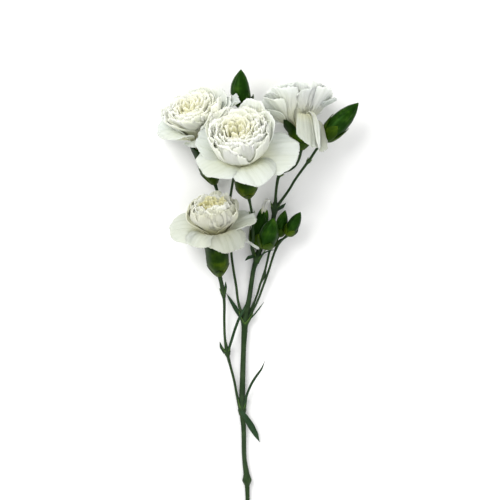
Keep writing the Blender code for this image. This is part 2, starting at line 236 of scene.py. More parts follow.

# green skins, as dark, middle and pale colours; a tint runs from foot to tip and multiplies them, and on
# calyces and their bracts it darkens the upper end as painted shade
STEM_SKIN = green_material(
    "stem_skin", (0.003, 0.011, 0.002), (0.010, 0.024, 0.006), (0.032, 0.054, 0.022), 0.5,
    ribs=(1, 0.12, 1), wax_and_highlight=0.12, rib_scale=900.0, use_uv=False)
LEAF_SKIN = green_material(
    "leaf_skin", (0.003, 0.014, 0.005), (0.007, 0.025, 0.010), (0.02, 0.048, 0.026), 0.5,
    ribs=(24, 0.6, 1), wax_and_highlight=0.12)
# paler olive at the foot, and darker towards the top as painted shade under the petals
CALYX_SKIN = green_material(
    "calyx_skin", (0.003, 0.010, 0.0003), (0.009, 0.024, 0.0005), (0.036, 0.066, 0.002), 0.4,
    ribs=(60, 1.2, 1), tint=((0.0, (7.5, 4.6, 1.4)), (0.25, (3.4, 2.4, 1.0)), (0.55, (1.3, 1.3, 1.0)),
                             (1.0, (0.4, 0.55, 0.7))))
BUD_SKIN = green_material(
    "bud_skin", (0.002, 0.013, 0.0003), (0.006, 0.029, 0.001), (0.026, 0.072, 0.007), 0.36,
    ribs=(60, 1.2, 1), tint=((0.0, (2.4, 1.4, 1.0)), (0.35, (1.1, 1.0, 1.0)), (0.9, (1.2, 1.1, 1.0)),
                             (1.0, (4.0, 2.6, 3.0))))
BRACT_SKIN = green_material(
    "bract_skin", (0.012, 0.03, 0.0008), (0.024, 0.05, 0.0015), (0.06, 0.10, 0.006), 0.42,
    ribs=(40, 1.0, 1), tint=((0.0, (1.2, 1.1, 1.0)), (0.85, (1.0, 1.0, 1.0)), (1.0, (2.6, 2.4, 3.5))))
# the bract tips are darkened as painted shadow, the kind that falls above short bracts
CALYX_BRACT_SKIN = green_material(
    "calyx_bract_skin", (0.014, 0.032, 0.0008), (0.034, 0.062, 0.002), (0.075, 0.115, 0.007), 0.42,
    ribs=(40, 1.0, 1), tint=((0.0, (1.3, 1.2, 1.0)), (0.6, (1.0, 1.0, 1.0)), (0.86, (0.4, 0.45, 0.5)),
                             (1.0, (0.16, 0.22, 0.3))))
SHEATH_SKIN = green_material(
    "sheath_skin", (0.006, 0.02, 0.002), (0.015, 0.036, 0.005), (0.04, 0.07, 0.015), 0.5,
    ribs=(30, 1.0, 1), wax_and_highlight=0.1, tint=((0.0, (1.0, 1.0, 1.0)), (0.7, (1.6, 1.5, 1.6)), (1.0, (6.0, 4.5, 6.0))))
PITH = green_material(
    "cut_pith", (0.30, 0.36, 0.16), (0.42, 0.47, 0.24), (0.56, 0.58, 0.36), 0.7,
    ribs=(1, 1, 1), rib_scale=1500.0, use_uv=False)


# ---------------------------------------------------------------- shared shapes

def smooth_step(value):
    value = np.clip(value, 0.0, 1.0)
    return value * value * (3 - 2 * value)


def add_piece(name, data, material, nodes, wall=0.0):
    """A finished piece at the origin: it rides on the root and stands for its solid nodes."""
    data.name = name
    data.shade_smooth()
    piece = bpy.data.objects.new(name, data)
    bpy.context.scene.collection.objects.link(piece)
    data.materials.append(material)
    if wall:
        solid = piece.modifiers.new("wall", "SOLIDIFY")
        solid.thickness = wall
        solid.offset = 0.0
    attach(piece, "root")
    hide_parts(*nodes)


def grid_mesh(name, columns, rows, places, closed=False):
    """One mesh of grids, each moved by its own function of across (-1 to 1) and along (0 to 1)."""
    mesh = bmesh.new()
    mesh.loops.layers.uv.new("UVMap")
    for _ in places:
        bmesh.ops.create_grid(mesh, x_segments=columns, y_segments=rows, size=1.0, calc_uvs=True)
    data = bpy.data.meshes.new(name)
    mesh.to_mesh(data)
    mesh.free()
    flat = np.empty(len(data.vertices) * 3)
    data.vertices.foreach_get("co", flat)
    points = flat.reshape(-1, 3)
    count = (columns + 1) * (rows + 1)
    for index, place in enumerate(places):
        part = slice(index * count, (index + 1) * count)
        points[part] = place(points[part, 0].copy(), (points[part, 1] + 1) / 2)
    data.vertices.foreach_set("co", points.ravel())
    data.update()
    if closed:
        mesh = bmesh.new()
        mesh.from_mesh(data)
        bmesh.ops.remove_doubles(mesh, verts=mesh.verts, dist=GRID_WELD)
        bmesh.ops.recalc_face_normals(mesh, faces=mesh.faces)
        mesh.to_mesh(data)
        mesh.free()
    return data


def in_world(points, frame_matrix):
    turn = np.array(frame_matrix.to_3x3())
    return points @ turn.T + np.array(frame_matrix.translation)


# ---------------------------------------------------------------- petals

def soft_line(points, passes=50, steps=72):
    """Evenly spaced places along a line whose corners are rounded off."""
    points = np.array(points, dtype=float)
    gone = np.concatenate(([0], np.cumsum(np.linalg.norm(np.diff(points, axis=0)[:, :3], axis=1))))
    even = np.linspace(0, gone[-1], steps)
    line = np.stack([np.interp(even, gone, column) for column in points.T], axis=1)
    for _ in range(passes):
        line[1:-1] = (line[:-2] + 2 * line[1:-1] + line[2:]) / 4
    return line


# What a petal has unless its own list says otherwise. Ruffle, frill, pleat and crease are in millimetres,
# turn is in degrees, and the rest are shares and counts.
PETAL_LOOK = dict(
    soft=50, phase=0.0,                        # smoothing passes on its midline, and where its waves begin
    spread=0.6, wrap=1.0, round=0.2,           # how soon it widens, how tightly it wraps, its rim's curve
    teeth=14, tooth=0.012, uneven=0.03,        # the toothed rim
    spiral=0.0, turn=0.0, cup=0.0,             # a twist round the axis, a tilt to one side and a hollow
    ruffle=0.6, waves=2.0,                     # broad waves over the blade
    frill=0.35, frills=5.5,                    # short waves at the rim
    pleat=0.1, pleats=8.0,                     # fine folds that run along it
    crease=0.0, crease_at=0.1)                 # one fold


def petal_points(given):
    """The function that lays a grid out as one petal, in the bloom's own millimetres.

    The petal's midline is given as (distance from the bloom's axis, height above the calyx). Its width
    wraps round the axis, so petals of one whorl nest. Ruffles and pleats grow towards the rim.
    """
    look = {**PETAL_LOOK, **given}
    line = soft_line(look["line"], look["soft"])
    share = np.linspace(0, 1, len(line))
    reach, height = line[:, 0], line[:, 1]
    slope = np.unwrap(np.arctan2(np.gradient(height), np.gradient(reach)))
    azimuth = radians(look["azimuth"])
    out = np.array((sin(azimuth), -cos(azimuth), 0.0))
    side = np.array((cos(azimuth), sin(azimuth), 0.0))
    up = np.array((0.0, 0.0, 1.0))
    half = look["width"] / 2
    claw_half = min(CLAW_HALF_WIDTH, 0.3 * half)
    phase, waves = look["phase"], look["waves"]

    def place(across, along):
        rim = smooth_step((along - 0.75) / 0.25)
        saw = np.abs(((across * look["teeth"] / 2 + phase) % 1.0) * 2 - 1)
        wobble = 0.6 * np.sin(2.3 * across + phase) + 0.4 * np.sin(6.1 * across + 2 * phase)
        reached = along * (1 - look["round"] * np.abs(across) ** 2.6)
        reached = reached - rim * (look["tooth"] * saw + look["uneven"] * (1 + wobble) / 2)
        reached = np.clip(reached, 0, 1)
        r, z, e = (np.interp(reached, share, values) for values in (reach, height, slope))
        fan = claw_half + (half - claw_half) * smooth_step((reached - 0.05) / look["spread"])
        wrap = np.maximum(look["wrap"] * r, 1.2)
        angle = np.clip(across * fan / wrap, -2.2, 2.2)
        sideways = wrap * np.sin(angle)
        r = r * (1 + look["spiral"] * across * smooth_step(reached * 2))
        r = r - wrap * (1 - np.cos(angle))
        turn = radians(look["turn"]) * smooth_step(reached * 1.6)
        free = smooth_step((reached - 0.3) / 0.7)
        ruffle = look["ruffle"] * free * (
            np.sin(waves * pi * across + phase * 3 + 1.2 * reached)
            + 0.4 * np.sin(1.9 * waves * pi * across - phase * 5))
        pleat = look["pleat"] * smooth_step(reached * 1.5) * np.sin(
            look["pleats"] * pi * across + 0.6 * np.sin(4 * reached + phase))
        crease = look["crease"] * reached * np.exp(-((across - look["crease_at"]) / 0.08) ** 2)
        cup = look["cup"] * fan * across * across * smooth_step(reached * 2)
        frill = look["frill"] * smooth_step((reached - 0.62) / 0.38) ** 2 * np.sin(
            look["frills"] * pi * across + 4 * phase + np.sin(3 * across + phase))
        lift = ruffle + pleat - crease + cup + frill + sideways * np.sin(turn)
        sideways = sideways * np.cos(turn)
        return (out * (r - lift * np.sin(e))[:, None] + up * (z + lift * np.cos(e))[:, None]
                + side * sideways[:, None])

    return place


def bloom_frame(base, lean, tilt):
    """A frame whose Z is the bloom's axis, raised off the table by tilt and turned to the left by lean."""
    turn = Euler((radians(tilt - 90), 0, radians(lean))).to_matrix().to_4x4()
    return Matrix.Translation(Vector(base) * MM + SHIFT) @ turn


def lay_petals(name, shapes, frame_matrix, mouth, material, nodes, grid):
    """Petals of one whorl as one piece, or one guard petal as a piece of its own."""
    def in_place(shape):
        local = petal_points(shape)

        def place(across, along):
            points = local(across, along)
            points[:, 2] += mouth
            return in_world(points * MM, frame_matrix)
        return place

    data = grid_mesh(name, *grid, [in_place(shape) for shape in shapes])
    add_piece(name, data, material, nodes, PETAL_WALL)


def ball_line(foot, belly, low, rim, top):
    """Up from the calyx, out to the belly, then closing in towards the rim."""
    rise = top - low
    return ((foot, 0.0), (foot + 0.08 * belly, 0.5 * low), (0.62 * belly, low),
            (0.93 * belly, low + 0.3 * rise), (belly, low + 0.62 * rise),
            (0.45 * belly + 0.55 * rim, low + 0.88 * rise), (rim, top))


def fan_line(foot, belly, low, rim, top):
    """Narrow above the calyx, then an open cup that stays wide at its rim."""
    rise = top - low
    return ((foot, 0.0), (foot + 0.08 * belly, 0.5 * low), (0.46 * belly, low),
            (0.8 * belly, low + 0.36 * rise), (belly, low + 0.7 * rise), (rim, top))


def trumpet_line(foot, belly, low, rim, top):
    """Out and up from the calyx in one steady flare."""
    return ((foot, 0.0), (foot + 0.06 * rim, 0.5 * low), (0.42 * rim, low),
            (0.75 * rim, low + 0.6 * (top - low)), (rim, top))


def whorl(rng, line, count, start, belly, low, rim, top, width, sway, **look):
    """Petals spaced round the axis, each a little different.

    Sway opens the back and closes the front, dip lowers the front and shoulder lowers both sides.
    """
    shapes = []
    for index in range(count):
        azimuth = start + 360 * index / count + rng.uniform(-7, 7)
        front = cos(radians(azimuth))
        size = rng.uniform(0.94, 1.05)
        closing = sway * front * (0.45 if front > 0 else 1.0)
        aside = abs(sin(radians(azimuth))) ** 1.5
        tall = top * (1 - look.get("dip", 0.0) * max(front, 0.0) - look.get("shoulder", 0.0) * aside)
        shape = dict(azimuth=azimuth, width=width * rng.uniform(0.9, 1.1), phase=rng.uniform(0, WHOLE_WAVE),
                     line=line(min(3.3, 0.5 * belly), belly * size * (1 - 0.35 * sway * front), low,
                               rim * rng.uniform(0.9, 1.1) - belly * closing,
                               tall * rng.uniform(0.95, 1.04)))
        shape.update(look)
        shape["waves"] = look["waves"] * rng.uniform(0.85, 1.2)
        shapes.append(shape)
    return shapes


def blade_line(length, slope, tip):
    """A hidden petal's midline from its length, the slope of its blade and the slope of its tip."""
    reach, height = 4.8, 5.3
    line = [(3.7, 0.0), (reach, height)]
    for step in range(1, 9):
        turn = radians(slope + (tip - slope) * float(smooth_step((step / 8 - 0.4) / 0.6)))
        reach += cos(turn) * (length - 5.5) / 8
        height += sin(turn) * (length - 5.5) / 8
        line.append((reach, height))
    return tuple(line)


# Each bloom: its foot and direction, its calyx, its outer cup, and the petals that are placed one by one.
# Belly is the cup's widest radius, low the height at which it has spread, top its full height, and rim its
# mouth as a share of belly. Azimuth 0 is the upper side of a bloom, towards the eye, and 90 its right side.
BLOOMS = {
    "front": dict(
        base=(-6.1, 53.9, 20.6), lean=9, tilt=40, calyx=20.0, girth=6.3, teeth=0.2, flare=0.5, seed=11,
        profile=ball_line, belly=16.8, low=10.5, top=29.0, rim=1.0, count=6, start=27, sway=0.3,
        dip=0.08, shoulder=0.0, frill=0.36,
        guards={
            "right": dict(azimuth=82, width=30, turn=18, crease=0.7, crease_at=0.1, pleat=0.22,
                          line=((3.7, 0), (5, 5), (10, 8.5), (19, 9.5), (28, 9), (33, 8))),
            "lower": dict(azimuth=22, width=27, cup=-0.12, uneven=0.05,
                          line=((3.7, 0), (5, 5.5), (10, 9.5), (17, 10.5), (23, 9), (26.5, 6.5))),
            "lower_left": dict(azimuth=-70, width=31, turn=-8, uneven=0.05,
                               line=((3.7, 0), (5, 6), (9, 10), (16, 11.5), (22, 11), (26, 9))),
            "left": dict(azimuth=-116, width=24, turn=-20, uneven=0.06,
                         line=((3.7, 0), (5, 6), (9, 12), (16, 16), (22, 18), (27, 18.5))),
            "back_left": dict(azimuth=-157, width=24, line=blade_line(24, 30, 26)),
            "back_right": dict(azimuth=146, width=24, line=blade_line(26, 34, 28))},
        extra=(
            ("upright", dict(azimuth=112, width=16, turn=10, ruffle=0.4, wrap=0.7,
                             line=((3.4, 0), (5, 6), (12, 11), (17.5, 18), (19.5, 25), (19.5, 31)))),
            ("upright", dict(azimuth=150, width=20, ruffle=0.6,
                             line=((3.4, 0), (5, 6), (12, 12), (18, 19), (21, 26), (22.5, 32)))))),
    "left": dict(
        base=(-24.8, 61.6, 7.4), lean=18, tilt=25, calyx=23.0, girth=5.9, teeth=0.2, flare=0.5, seed=23,
        profile=fan_line, belly=15.4, low=13.0, top=27.5, rim=0.98, count=6, start=24, sway=0.16,
        dip=0.1, shoulder=0.0, frill=0.3,
        guards={
            "lower_left": dict(azimuth=-72, width=26, turn=-12, ruffle=0.9,
                               line=((3.7, 0), (5, 7), (9, 13), (14, 17), (19, 18), (22.5, 15))),
            "lower": dict(azimuth=-14, width=18, cup=-0.2,
                          line=((3.7, 0), (5, 5), (8, 8.5), (11, 8.5), (13, 5.5))),
            "right": dict(azimuth=76, width=17, turn=10, crease=1.0, crease_at=0.0, wrap=0.8, round=0.3,
                          frill=0.8, line=((3.7, 0), (5, 7), (9, 13), (16, 18.5), (23, 22), (29, 24.5))),
            "under_right": dict(azimuth=128, width=24, line=blade_line(27, 22, 4)),
            "under_left": dict(azimuth=-140, width=24, ruffle=0.2, line=blade_line(29.5, 20, -1))},
        extra=(
            ("upright", dict(skin=PETAL_IVORY, azimuth=62, width=26, ruffle=0.8, frill=0.6, spread=0.5,
                             round=0.3, line=((3.4, 0), (5, 7), (11, 13), (16, 18), (18, 23), (17.5, 28)))),
            ("upright", dict(azimuth=78, width=27, ruffle=0.7,
                             line=((3.4, 0), (5, 6), (10, 11), (16, 15), (21, 20), (24, 25)))),
            ("upright", dict(azimuth=112, width=26, ruffle=0.8,
                             line=((3.4, 0), (5, 6), (10, 11), (16, 17), (20, 23), (22, 27)))),
            ("upright", dict(azimuth=-86, width=17, ruffle=1.0, waves=2.6,
                             line=((3.4, 0), (5, 6), (9, 12), (13, 18), (15.5, 23), (17, 26.5)))),
            ("upright", dict(azimuth=150, width=26, ruffle=0.6,
                             line=((3.4, 0), (5, 7), (10, 14), (15, 21), (17, 26), (16, 30)))))),
    "right": dict(
        base=(22.8, 79.8, 22.6), lean=4, tilt=-8, calyx=11.5, girth=6.2, teeth=0.5, flare=1.1, seed=37,
        # painted light: this bloom wears the brighter copy of the petal colour
        skin=PETAL_LIT, inner_skin=PETAL_LIT,
        profile=trumpet_line, belly=20.0, low=6.0, top=24.5, rim=1.0, count=7, start=4, sway=-0.12,
        dip=0.0, shoulder=0.2, frill=0.45,
        look=dict(spread=0.8, round=0.14, pleat=0.2, pleats=9, ruffle=1.0, waves=2.1, spiral=0.1,
                  uneven=0.09, tooth=0.03),
        guards={
            # painted shade: this hanging petal wears the darker copy of the petal colour
            "hanging": dict(skin=PETAL_SHADE, azimuth=22, width=21, turn=-22, ruffle=0.9, crease=-1.8,
                            soft=20, uneven=0.08,
                            line=((3.7, 0), (6, 4), (10, 6.5), (14, 5), (16.5, 0), (17, -6), (16.5, -11),
                                  (17.5, -15))),
            "left": dict(azimuth=-84, width=27, ruffle=0.9, waves=2.0, uneven=0.08,
                         line=((3.7, 0), (6, 2.5), (11, 5.5), (17, 8.5), (24.5, 12))),
            "folded": dict(azimuth=84, width=14, wrap=0.45, ruffle=0.4,
                           line=((3.7, 0), (5.5, 4), (10, 8.5), (16, 12.5), (22, 15.5))),
            "under_left": dict(azimuth=-124, width=22, line=blade_line(26, 12, -6)),
            "under_right": dict(azimuth=160, width=22, ruffle=0.4, line=blade_line(21.5, 24, 10))},
        extra=(
            ("lobe", dict(azimuth=-66, width=26, ruffle=1.0, uneven=0.1, spread=0.8, tooth=0.03,
                          line=((3.4, 0), (6, 3), (11, 7), (17, 12.5), (22.5, 18)))),
            # painted light: the rolled rim wears the brighter copy of the petal colour
            ("roll", dict(skin=PETAL_LIT, azimuth=29, width=3.4, ruffle=0.25, frill=0.2, wrap=0.4, soft=16,
                          round=0.5, line=((5.2, 2), (9, 6.6), (13.6, 7.6), (17.2, 4.4), (18.8, -1),
                                           (19.0, -8), (19.6, -15)))),
            # painted shade: this drooping petal wears the darkest copy of the petal colour
            ("drop", dict(skin=PETAL_DEEP_SHADE, azimuth=52, width=17, ruffle=0.6, uneven=0.08, tooth=0.03, soft=20,
                          line=((3.7, 0), (6, 3), (10, 4.5), (13, 2), (14.5, -4), (15, -10), (16, -16)))))),
    "low": dict(
        base=(-22.3, 10.7, 8.6), lean=5, tilt=28, calyx=20.0, girth=6.3, teeth=0.2, flare=0.5, seed=51,
        # this bloom's guard, cup and heart colours are darker copies: painted shade for a bloom lying lower
        # in the light
        guard_skin=PETAL_SHADE, skin=PETAL_SHADED_CUP, throat_skin=PETAL_SHADED_GOLD, core_skin=PETAL_SHADED_GOLD,
        profile=ball_line, belly=13.9, low=13.0, top=24.5, rim=0.74, count=7, start=-6, sway=0.26,
        dip=-0.05, shoulder=0.0, frill=0.2,
        guards={
            "left": dict(azimuth=-86, width=25, turn=-18, ruffle=0.7,
                         line=((3.7, 0), (5, 6), (10, 10.5), (17, 12), (22.5, 11), (25.5, 8.5))),
            "centre": dict(azimuth=-36, width=23, cup=-0.15, pleat=0.15,
                           line=((3.7, 0), (5, 6), (9, 10.5), (14, 12), (18.5, 10.5), (21, 7))),
            # painted shade: this drooping guard wears the darkest copy of the petal colour
            "lower_right": dict(azimuth=24, width=27, cup=-0.12, crease=0.4, crease_at=0.2, skin=PETAL_DEEP_SHADE,
                                line=((3.7, 0), (5, 6), (9, 10.5), (14, 12), (18.5, 10), (21, 6), (21.5, 3))),
            "right": dict(azimuth=98, width=19, turn=8, ruffle=0.9,
                          line=((3.7, 0), (5, 6), (9, 10), (15, 12), (20, 13), (24, 13))),
            "under_right": dict(azimuth=146, width=14, line=blade_line(17, 40, 40)),
            "under_left": dict(azimuth=-152, width=24, ruffle=0.2, cup=0.1, line=blade_line(28.5, 18, -1))},
        extra=(
            ("flap", dict(azimuth=172, width=11, ruffle=0.3,
                          line=((3.4, 0), (5, 8), (10, 14), (14.5, 20), (16.5, 25)))),
            ("fold", dict(azimuth=112, width=17, ruffle=0.4,
                          line=((3.4, 0), (5, 7), (9.5, 11), (13, 16), (13.5, 22)))),
            ("fold", dict(azimuth=146, width=18, ruffle=0.4,
                          line=((3.4, 0), (5, 7), (9, 12), (12, 17), (13, 23)))),
            # painted shade: this strip wears the darker copy of the petal colour
            ("strip", dict(skin=PETAL_SHADE, azimuth=57, width=2.1, ruffle=0.15, wrap=0.1, turn=30, round=0.5,
                           line=((3.7, 0), (5, 5), (10, 8), (18, 7), (24, 4), (28, 2))))))}


# Whorls inside the outer cup: label, skin, count, degrees on from the cup's start, belly, low, mouth, top,
# width, sway, own sway, waves. Belly, mouth and width are shares of the cup's belly, and top and sway are
# shares of its top and sway. Low is in millimetres above the cup's.
INNER_WHORLS = (
    ("ring", "skin", 7, 26, 0.93, 1, 0.94, 1.02, 1.4, 1.0, 0.0, 1.8),
    ("fold", "skin", 7, 8, 0.83, 2, 0.84, 1.05, 1.2, 0.8, 0.0, 1.9),
    ("inner", "inner_skin", 7, 40, 0.72, 2, 0.73, 1.07, 1.1, 0.7, 0.0, 1.9),
    ("fringe", "inner_skin", 7, 64, 0.61, 3, 0.62, 1.08, 0.95, 0.6, 0.0, 2.0),
    ("throat", "throat_skin", 6, 10, 0.49, 3, 0.5, 1.08, 0.85, 0.5, 0.0, 2.1),
    ("heart", "core_skin", 6, 0, 0.36, 4, 0.37, 1.06, 0.6, 0.0, 0.1, 2.4),
    ("core", "core_skin", 4, 20, 0.22, 5, 0.22, 1.02, 0.42, 0.0, 0.0, 2.2))
CUP_LOOK = dict(ruffle=0.75, waves=1.9, spiral=0.08, spread=0.36, uneven=0.07, round=0.16, tooth=0.03,
                pleat=0.12)
INNER_LOOK = dict(ruffle=0.5, spiral=0.09, pleat=0.17, pleats=11, uneven=0.05, tooth=0.025)
CORE_LOOK = dict(ruffle=0.4, spiral=0.1)
GUARD_LOOK = dict(round=0.2, tooth=0.018, teeth=17, ruffle=0.85, pleat=0.14, waves=1.9, spread=0.62,
                  uneven=0.06)


def outer_cup(rng, bloom):
    """The broad petals round the heart."""
    belly = bloom["belly"]
    look = {**CUP_LOOK, "frill": 1.7 * bloom["frill"], "dip": bloom["dip"], "shoulder": bloom["shoulder"],
            **bloom.get("look", {})}
    return whorl(rng, bloom["profile"], bloom["count"], bloom["start"], belly, bloom["low"],
                 bloom["rim"] * belly, bloom["top"], 1.65 * belly, bloom["sway"], **look)


def inner_whorl(rng, bloom, row):
    """One row of INNER_WHORLS. Those in the bloom's own skin follow its profile, and the rest are balls."""
    label, skin, count, turn, belly, low, mouth, top, width, sway, own_sway, waves = row
    cup_belly = bloom["belly"]
    line, rim = (bloom["profile"], bloom["rim"]) if skin == "skin" else (ball_line, 1.0)
    look = CORE_LOOK if label == "core" else {
        **INNER_LOOK, "frill": bloom["frill"], "dip": bloom["dip"], "shoulder": bloom["shoulder"]}
    return whorl(rng, line, count, bloom["start"] + turn, belly * cup_belly, bloom["low"] + low,
                 mouth * rim * cup_belly, bloom["top"] * top, width * cup_belly,
                 sway * bloom["sway"] + own_sway, waves=waves, **look)


def build_heart(name, bloom, frame_matrix):
    """The inner petals in nested whorls, from the broad outer cup to the small crumpled core."""
    rng = np.random.default_rng(bloom["seed"])
    inner_skin = bloom.get("inner_skin", PETAL_IVORY)
    skins = {"skin": bloom.get("skin", inner_skin), "inner_skin": inner_skin,
             "throat_skin": bloom.get("throat_skin", PETAL_CREAM),
             "core_skin": bloom.get("core_skin", PETAL_CORE)}
    pieces = [("cup", outer_cup(rng, bloom), bloom.get("skin", PETAL_CUP), WHORL_GRID)]
    for row in INNER_WHORLS:
        label, skin = row[:2]
        pieces.append((label, inner_whorl(rng, bloom, row), skins[skin], WHORL_GRID))
    for index, (label, given) in enumerate(bloom["extra"]):
        shape = {"phase": rng.uniform(0, WHOLE_WAVE), **given}
        # extras fall back to the bloom's skin, or else to the brighter copy with painted light
        material = given.get("skin", bloom.get("skin", PETAL_LIT))
        pieces.append((f"{label}_{index}", [shape], material, EXTRA_GRID))
    for label, shapes, material, grid in pieces:
        lay_petals(name + "_" + label, shapes, frame_matrix, bloom["calyx"], material,
                   ["heart_" + name], grid)


def build_guards(name, bloom, frame_matrix):
    """The broad outer petals, each a piece of its own."""
    rng = np.random.default_rng(bloom["seed"] + 1)
    for label, given in bloom["guards"].items():
        shape = {"phase": rng.uniform(0, WHOLE_WAVE), **GUARD_LOOK, **given}
        material = given.get("skin", bloom.get("guard_skin", PETAL_WHITE))
        lay_petals(name + "_petal_" + label, [shape], frame_matrix, bloom["calyx"], material,
                   ["petal_" + name + "_" + label], GUARD_GRID)


# ---------------------------------------------------------------- calyces and buds

# share of the height, then share of the girth
CALYX_OUTLINE = ((0.0, 0.2), (0.05, 0.36), (0.16, 0.6), (0.32, 0.86), (0.42, 0.95), (0.7, 0.98), (1.0, 1.03))
BUD_OUTLINE = ((0.0, 0.0), (0.015, 0.34), (0.08, 0.7), (0.24, 0.95), (0.44, 1.0), (0.64, 0.87),
               (0.82, 0.58), (0.94, 0.24), (1.0, 0.02))


def outline_at(outline, level):
    """The share of the girth at a level, with the outline's corners rounded off."""
    places, shares = np.array(outline).T
    fine = np.linspace(0, 1, 160)
    soft = np.interp(fine, places, shares)
    soft = np.convolve(np.pad(soft, 6, mode="edge"), np.ones(13) / 13, mode="valid")
    soft[0], soft[-1] = shares[0], shares[-1]
    return np.interp(level, fine, soft)


def seam_wave(angle, turn):
    """1 at the seams between sepals and 0 at the middle of each."""
    return np.abs(((angle / (2 * pi) * SEPALS + turn) % 1.0) * 2 - 1)


def build_calyx(name, bloom, frame_matrix):
    """A ribbed tube of sepals with pointed teeth, and short bracts round its foot."""
    length, girth = bloom["calyx"], bloom["girth"]

    def tube(across, along):
        angle = across * pi
        tooth = 1 - seam_wave(angle, 0.25)
        level = along * (1 + bloom["teeth"] * tooth ** 0.8 - 0.04)
        above = np.maximum(level - 0.9, 0)
        radius = girth * outline_at(CALYX_OUTLINE, np.minimum(level, 1.0)) * (1 + bloom["flare"] * above)
        ribs = 0.018 * np.cos(SEPALS * (angle + 0.3))
        radius = radius * (1 + ribs - 0.03 * (1 - tooth) ** 6 * (level > 0.6))
        points = np.stack((radius * np.sin(angle), -radius * np.cos(angle), level * length), axis=1)
        return in_world(points * MM, frame_matrix)

    data = grid_mesh("calyx_" + name, 80, 30, [tube], True)
    add_piece(name + "_calyx", data, CALYX_SKIN, ["calyx_" + name], CALYX_WALL)
    build_bracts(name + "_bracts", "calyx_" + name, frame_matrix, CALYX_OUTLINE, girth, length, 0.36, 0.0,
                 CALYX_BRACT_SKIN)


def build_bracts(name, node, frame_matrix, outline, girth, length, tall, turn, skin):
    """Small pointed scales that clasp the foot of a calyx or a bud."""
    def scale_at(index):
        middle = turn + 2 * pi * index / BRACTS
        high = tall * (1.0 if index % 2 else 0.84)

        def place(across, along):
            level = 0.01 + high * along * (1 - 0.12 * np.abs(across))
            half = 0.98 * pi / BRACTS * (1 - along ** 2.4) ** 0.6 + 0.02
            angle = middle + across * half
            radius = girth * outline_at(outline, level) + 0.4 + 0.12 * along ** 3
            points = np.stack((radius * np.sin(angle), -radius * np.cos(angle), level * length), axis=1)
            return in_world(points * MM, frame_matrix)
        return place

    data = grid_mesh(name, 10, 12, [scale_at(index) for index in range(BRACTS)])
    add_piece(name, data, skin, [node], LEAF_WALL)


def bud_frame(foot, tip):
    """A frame whose Z runs from foot to tip, and the distance between them in millimetres."""
    start, end = Vector(foot) * MM + SHIFT, Vector(tip) * MM + SHIFT
    turn = (end - start).to_track_quat("Z", "Y").to_matrix().to_4x4()
    return Matrix.Translation(start) @ turn, (end - start).length / MM


def build_bud(name, node, foot, tip, girth, turn, bracts, bow, lobes):
    """A closed bud: sepals that meet in seams and press together at the tip, with bracts below."""
    frame_matrix, length = bud_frame(foot, tip)

    def body(across, along):
        angle = across * pi
        seam = seam_wave(angle, turn)
        upper = smooth_step((along - 0.3) / 0.5)
        radius = girth * outline_at(BUD_OUTLINE, along)
        radius = radius * (1 - 0.13 * upper * np.exp(-((1 - seam) / 0.1) ** 2) + 0.05 * upper * (1 - seam))
        twist = angle + 0.35 * along ** 2
        points = np.stack((radius * np.sin(twist), -radius * np.cos(twist), along * length), axis=1)
        points[:, 0] += bow * np.sin(pi * along)
        if lobes:
            lobe = smooth_step((along - 0.7) / 0.3) * lobes
            points[:, 0] += lobe * np.sin(angle) * (1 - seam) * 2
            points[:, 2] -= lobe * seam * 3.0
        return in_world(points * MM, frame_matrix)

    data = grid_mesh(name, 60, 40, [body], True)
    add_piece(name, data, BUD_SKIN, [node])
    build_bracts(name + "_bracts", node, frame_matrix, BUD_OUTLINE, girth, length, bracts, turn,
                 BRACT_SKIN)


def build_opening_petal():
    """The folded petal tip that pushes out of the opening bud."""
    frame_matrix, length = bud_frame((1.2, 44.0, 9.2), (4.6, 53.0, 11.8))
    shapes = [dict(azimuth=index * 120 + 20, width=4.4, ruffle=0.3, phase=index * 2.0, spiral=0.15,
                   line=((0.8, 0.0), (1.5, 0.5 * length), (1.3, 0.9 * length), (0.9, length)))
              for index in range(3)]
    lay_petals("opening_bud_petal", shapes, frame_matrix, 0.0, PETAL_IVORY,
               ["petal_opening_bud"], TIP_GRID)


# ---------------------------------------------------------------- stems and leaves

# the lower end of the main stem is cut on a slant, this far from its first point
TRIM_BACK = Vector((0, 1.6, 0)) * MM
TRIM_SLANT = Vector((0.75, 1.0, 0.35))


def build_stem(name, points, radius, cut):
    """A round stem through (x, y, z, share of the radius) with smooth bends and swollen joints."""
    curve = bpy.data.curves.new(name, "CURVE")
    curve.dimensions = "3D"
    curve.bevel_depth = radius
    curve.bevel_resolution = 5
    curve.resolution_u = 5
    curve.use_fill_caps = True
    line = curve.splines.new("BEZIER")
    line.bezier_points.add(len(points) - 1)
    for point, (x, y, z, share) in zip(line.bezier_points, points):
        point.co = Vector((x, y, z)) * MM + SHIFT
        point.radius = share
        point.handle_left_type = point.handle_right_type = "AUTO"
    holder = bpy.data.objects.new(name + "_line", curve)
    bpy.context.scene.collection.objects.link(holder)
    bpy.context.view_layer.update()
    seen = holder.evaluated_get(bpy.context.evaluated_depsgraph_get())
    data = bpy.data.meshes.new_from_object(seen)
    bpy.data.objects.remove(holder, do_unlink=True)
    data.materials.clear()
    mesh = bmesh.new()
    mesh.from_mesh(data)
    bmesh.ops.remove_doubles(mesh, verts=mesh.verts, dist=STEM_WELD)
    if cut:
        end = Vector(points[0][:3]) * MM + SHIFT + TRIM_BACK
        found = bmesh.ops.bisect_plane(mesh, geom=mesh.verts[:] + mesh.edges[:] + mesh.faces[:],
                                       plane_co=end, plane_no=TRIM_SLANT, clear_inner=True)
        rim = [item for item in found["geom_cut"] if isinstance(item, bmesh.types.BMEdge)]
        for face in bmesh.ops.edgenet_fill(mesh, edges=rim)["faces"]:
            face.material_index = 1
    bmesh.ops.recalc_face_normals(mesh, faces=mesh.faces)
    mesh.to_mesh(data)
    mesh.free()
    add_piece(name.replace("stem_", "stalk_"), data, STEM_SKIN, [name])
    if cut:
        data.materials.append(PITH)


